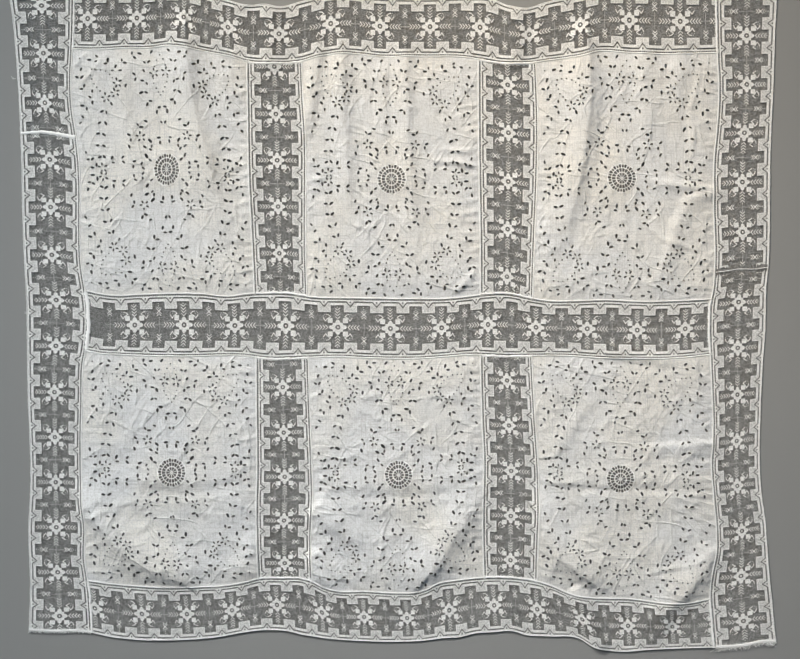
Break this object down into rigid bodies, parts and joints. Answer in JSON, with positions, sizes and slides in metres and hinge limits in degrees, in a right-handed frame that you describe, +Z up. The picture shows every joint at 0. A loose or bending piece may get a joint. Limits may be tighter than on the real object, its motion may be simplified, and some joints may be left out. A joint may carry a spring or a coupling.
{
  "type": "lace tablecloth",
  "caption": "Rectangular tablecloth laid out flat: white linen panels with cut and embroidered eyelets, joined and framed by bands of patterned net lace.",
  "frame": {"origin": "centre of the cloth's box, on the surface that it lies on", "axes": "+X along the long side, +Y along the short side towards the edge that is uppermost in the picture, +Z up off the surface"},
  "size_m": [1.8448, 1.5938, 0.0175],
  "materials": {
    "linen": "matt plain-woven off-white linen",
    "lace": "matt off-white cotton net with closely woven figures"
  },
  "bodies": {
    "root": {"panel_upper_left": "linen", "panel_upper_middle": "linen", "panel_upper_right": "linen", "panel_lower_left": "linen", "panel_lower_middle": "linen", "panel_lower_right": "linen", "lace_left_upper": "lace", "lace_left_lower": "lace", "lace_right_upper": "lace", "lace_right_lower": "lace", "lace_top": "lace", "lace_middle": "lace", "lace_bottom": "lace", "lace_upright_1": "lace", "lace_upright_2": "lace", "lace_upright_3": "lace", "lace_upright_4": "lace"}
  },
  "joints": []
}
